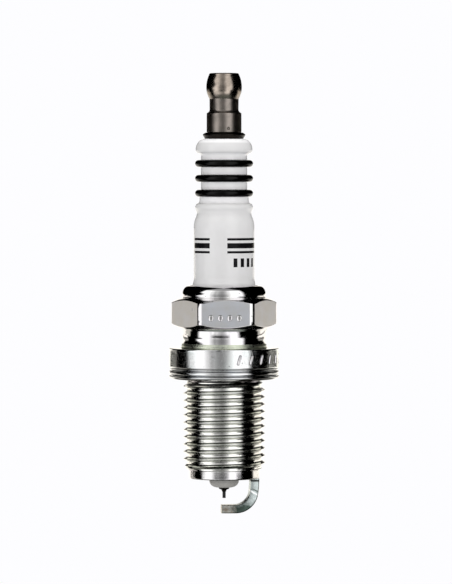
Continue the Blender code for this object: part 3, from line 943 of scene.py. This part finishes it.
def build_pieces():
    """Every visible piece: it replaces its CAD node and rides on that node's body."""
    bright = plated("bright_plating", (0.84, 0.83, 0.82), (0.84, 0.81, 0.84), 0.07)
    rolled = rolled_thread("rolled_thread")
    # Painted reflections: the hex's side faces get a lighter, warmer copy of the satin steel, and its front
    # face a darker, bluer one.
    satin = satin_steel("satin_steel", (0.61, 0.59, 0.565), 0.5)
    painted_front = satin_steel("painted_front_steel", (0.445, 0.46, 0.49), 0.5)
    bead = plated("bead_plating", (0.76, 0.78, 0.68), (0.68, 0.73, 0.58), 0.3)
    flange = plated("flange_plating", (0.84, 0.83, 0.83), (0.8, 0.83, 0.82), 0.1, 0.0008, 0.006)
    nickel = nickel_with_painted_head("terminal_nickel")
    dark = plated("dark_nickel", (0.024, 0.02, 0.017), (0.02, 0.018, 0.016), 0.3)
    gasket = plated("gasket_plating", (0.78, 0.78, 0.78), (0.74, 0.76, 0.78), 0.1, 0.0005, 0.001)
    strap = strap_metal("strap_nickel")
    tip = drawn_wire("tip_metal", (0.04, 0.04, 0.04), 0.35)
    nut = terminal_nut(nickel)
    stud = terminal_stud(dark)
    ceramic = insulator(glaze("white_glaze"), black_glaze("black_glaze"), bisque("bare_alumina"))
    shell = metal_shell(bright, satin, rolled, painted_front, bead, flange)
    made = [
        (nut, "terminal_nut", "nut", "terminal_nickel"),
        (stud, "terminal_stud", "plug", "stud_steel"),
        (ceramic, "insulator", "plug", "white_glaze"),
        (shell, "metal_shell", "plug", "plated_steel"),
        (seat_gasket(gasket), "seat_gasket", "gasket", "gasket_steel"),
        (centre_electrode(dark), "electrode_sheath", "plug", "electrode_nickel"),
        (wire_tip(tip), "fine_wire_tip", "plug", "tip_metal"),
        (ground_electrode(strap), "ground_electrode", "plug", "strap_nickel"),
    ]
    for piece, node, body, slot in made:
        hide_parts(node)
        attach(piece, body)


def finish_inner_nodes():
    """The sealed pieces keep their CAD shapes and get full materials."""
    glass = powder("seal_glass", (0.13, 0.1, 0.085), (0.07, 0.06, 0.055), 3.0)
    steel = satin_steel("packing_steel", (0.5, 0.49, 0.47), 0.38)
    finishes = {
        "upper_glass_seal": glass,
        "lower_glass_seal": glass,
        "resistor": powder("resistor_mix", (0.03, 0.03, 0.032), (0.06, 0.06, 0.058), 4.0),
        "electrode_copper_core": drawn_wire("copper_core", (0.72, 0.34, 0.2), 0.35),
        "upper_packing_ring": steel,
        "lower_packing_ring": steel,
        "seat_washer": steel,
        "talc_packing": powder("talc", (0.8, 0.79, 0.75), (0.7, 0.69, 0.66), 5.0),
    }
    for name, finish in finishes.items():
        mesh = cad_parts[name].data
        mesh.materials.clear()
        mesh.materials.append(finish)


# ---------------------------------------------------------------- studio

CENTRE = (CAD_BOX[0] + CAD_BOX[1]) / 2
FLOOR_Z = CAD_BOX[0].z - 0.3 * MM
WHITE = (0.983, 0.983, 1.0)

# The front light by azimuth, in degrees to the camera's right: two broad white boxes and the dim gap between.
FRONT_LIGHT = [
    (-80.0, 0.0),
    (-72.0, 1.3),
    (-42.0, 1.3),
    (-36.0, 0.85),
    (-31.0, 0.6),
    (-26.0, 0.35),
    (-20.0, 0.4),
    (-14.0, 0.28),
    (-6.0, 0.21),
    (0.0, 0.27),
    (6.0, 0.42),
    (12.0, 0.7),
    (20.0, 1.3),
    (50.0, 1.3),
    (60.0, 0.0),
]

# How far the left box's edges lie to the right of that, by elevation, and the right box's to the left.
LEFT_SHIFT = [
    (-9.0, 1.0),
    (-8.25, 2.0),
    (-8.0, 12.0),
    (-5.0, 12.0),
    (-4.5, 0.0),
    (-3.3, -6.0),
    (0.0, -4.0),
    (6.0, 13.0),
    (17.0, 19.0),
    (23.0, 7.0),
    (28.0, 5.0),
    (40.0, 9.0),
]
RIGHT_SHIFT = [(-8.25, 14.0), (-8.0, 0.0)]

# How bright the gap between the boxes is, by elevation, as a part of its usual level.
GAP_LEVEL = [
    (-24.0, 2.4),
    (-17.0, 1.7),
    (-14.5, 0.6),
    (-11.0, 0.5),
    (-8.25, 0.3),
    (-8.0, 1.6),
    (-5.0, 1.7),
    (-4.5, 1.1),
    (-3.0, 1.0),
    (5.0, 1.0),
    (20.0, 1.5),
]

# The azimuth at which the white room behind the plug begins, by elevation, and what the left side adds.
BACK_EDGE = [
    (-10.5, 118.0),
    (-10.0, 165.0),
    (-9.0, 165.0),
    (-8.75, 110.0),
    (-8.25, 110.0),
    (-8.0, 106.0),
    (-5.25, 106.0),
    (-5.0, 146.0),
    (-3.5, 146.0),
    (-2.0, 138.0),
    (-0.5, 138.0),
    (1.5, 172.0),
]
LEFT_BACK_EDGE = [
    (-10.5, 14.0),
    (-10.0, -55.0),
    (-9.0, -55.0),
    (-8.75, 29.0),
    (-8.25, 29.0),
    (-8.0, 15.0),
    (-5.25, 15.0),
    (-4.0, 8.0),
    (-3.0, 0.0),
]


def emission(name, radiance, colour=(1.0, 1.0, 1.0)):
    """A material that only glows."""
    made = bpy.data.materials.new(name)
    made.use_nodes = True
    tree = made.node_tree
    tree.nodes.clear()
    glow = tree.nodes.new("ShaderNodeEmission")
    glow.inputs["Color"].default_value = (*colour, 1.0)
    glow.inputs["Strength"].default_value = radiance
    out = tree.nodes.new("ShaderNodeOutputMaterial")
    tree.links.new(glow.outputs[0], out.inputs["Surface"])
    return made


def band(value, low, high, soft):
    """1 between low and high and 0 outside, with ramps of the given width."""
    up = min(1.0, max(0.0, (value - low) / soft + 0.5))
    down = min(1.0, max(0.0, (high - value) / soft + 0.5))
    return up * up * (3 - 2 * up) * down * down * (3 - 2 * down)


def from_table(table, value):
    """The table's second column, read at a value of its first."""
    return np.interp(value, *zip(*table))


def mirrored_light(azimuth, elevation):
    """What metal and glaze reflect from one direction: azimuth 0 is the camera's and grows to its right."""
    side, left = abs(azimuth), azimuth < 0.0
    # Two boxes with a dim gap between them, and a dark spot in it below the level.
    shift = from_table(LEFT_SHIFT, elevation) * band(azimuth, -200.0, -50.0, 16.0)
    shift -= from_table(RIGHT_SHIFT, elevation) * band(azimuth, 20.0, 200.0, 8.0)
    front = from_table(FRONT_LIGHT, azimuth - shift)
    gap = band(azimuth, -34.0, 13.0, 10.0)
    front *= 1.0 + (from_table(GAP_LEVEL, elevation) - 1.0) * gap
    front *= 1.0 - 0.7 * band(azimuth, -26.0, -3.0, 8.0) * band(elevation, -15.0, -10.0, 3.0)
    front *= band(elevation, -31.0, 50.0, 12.0)
    # A dim ceiling, green light from below, the white room behind, and beige strips beside it.
    ceiling = 0.33 * band(azimuth, -60.0, 45.0, 30.0) * band(elevation, 45.0, 110.0, 20.0)
    under = 0.27 * band(elevation, -64.0, -36.0, 8.0) * band(side, -1.0, 62.0, 20.0)
    back_edge = from_table(BACK_EDGE, elevation) + from_table(LEFT_BACK_EDGE, elevation) * left
    back = band(side, back_edge, 400.0, 5.0) * band(elevation, -25.0, 25.0, 8.0)
    beige = 0.58 * band(side, 108.0, back_edge, 4.0) * band(elevation, -70.0, -10.5, 1.0)
    near_edge = 118.0 if left else 110.0
    beige += 0.4 * band(side, near_edge, back_edge, 6.0) * band(elevation, -3.55, -1.0, 0.3)
    colour = (front + ceiling) * np.array((0.99, 0.995, 1.0)) + under * np.array((0.9, 1.0, 0.9))
    return colour + back * np.array((1.25, 1.2, 1.1)) + beige * np.array((1.0, 0.97, 0.88))


def spread_light(azimuth, elevation):
    """What lights the matt surfaces: a soft front light, brightest near the level, under a bright ceiling."""
    front = 0.3 + 0.88 * band(azimuth, -95.0, 95.0, 110.0) * band(elevation, -40.0, 40.0, 40.0)
    return front * np.array((1.0, 0.985, 0.985)) + 2.0 * band(elevation, 55.0, 200.0, 20.0)


def light_dome(name, radiance, radius=0.45):
    """A sphere round the object, out of the camera's sight, glowing as the radiance function says: its rings
    are close together near the level, where the table and the boxes meet in the plug's upright walls."""
    azimuths = np.arange(-180.0, 180.0, 2.0)
    coarse, fine, low, high = 4.0, 0.25, -16.0, 4.0
    stretches = ((-88.0, low, coarse), (low, high, fine), (high, 89.0, coarse))
    elevations = np.concatenate([np.arange(*stretch) for stretch in stretches])
    points, colours, faces = [], [], []
    for e in elevations:
        for a in azimuths:
            level = math.cos(math.radians(e))
            x, y = math.sin(math.radians(a)) * level, -math.cos(math.radians(a)) * level
            points.append(Vector((x, y, math.sin(math.radians(e)))) * radius + CENTRE)
            colours += [*radiance(a, e), 1.0]
    count = len(azimuths)
    for i in range(len(elevations) - 1):
        for j in range(count):
            k = (j + 1) % count
            faces.append((i * count + j, (i + 1) * count + j, (i + 1) * count + k, i * count + k))
    mesh = bpy.data.meshes.new(name)
    mesh.from_pydata(points, [], faces)
    mesh.attributes.new("glow", "FLOAT_COLOR", "POINT").data.foreach_set("color", colours)
    finish = emission(name + "_glow", 1.0)
    nodes = finish.node_tree.nodes
    glow = nodes.new("ShaderNodeAttribute")
    glow.attribute_name = "glow"
    finish.node_tree.links.new(glow.outputs["Color"], nodes["Emission"].inputs["Color"])
    mesh.materials.append(finish)
    dome = linked(name, mesh)
    dome.visible_camera = False
    return dome


def studio():
    """A white floor under a white sky for the camera, and the dome for everything the surfaces reflect."""
    skin = Skin(np.linspace(0.0, math.tau, 64, endpoint=False))
    skin.add([(1400.0, FLOOR_Z / MM), (400.0, FLOOR_Z / MM), (0.0, FLOOR_Z / MM)])
    floor = skin.make("studio_floor", [emission("white_sweep", 1.0, WHITE)])
    floor.visible_glossy = False
    light_dome("mirror_dome", mirrored_light).visible_diffuse = False
    light_dome("soft_dome", spread_light).visible_glossy = False
    world = bpy.data.worlds.new("white_sky")
    world.use_nodes = True
    world.node_tree.nodes["Background"].inputs["Color"].default_value = (*WHITE, 1.0)
    bpy.context.scene.world = world


def camera():
    """A long lens at the height of the insulator's top ribs, aimed at the middle of the plug."""
    data = bpy.data.cameras.new("camera")
    data.lens = 234.0
    data.sensor_width = 36.0
    data.clip_start, data.clip_end = 0.01, 10.0
    obj = linked("camera", data)
    across, distance, height, aim_height = 0.33, 650.0, 32.4, 12.9
    aim = Vector((across, 0.0, aim_height)) * MM
    obj.location = Vector((across, -distance, height)) * MM
    obj.rotation_mode = "QUATERNION"
    obj.rotation_quaternion = (aim - obj.location).to_track_quat("-Z", "Y")
    bpy.context.scene.camera = obj
    bpy.context.scene.view_settings.view_transform = "Standard"


build_pieces()
finish_inner_nodes()
studio()
camera()
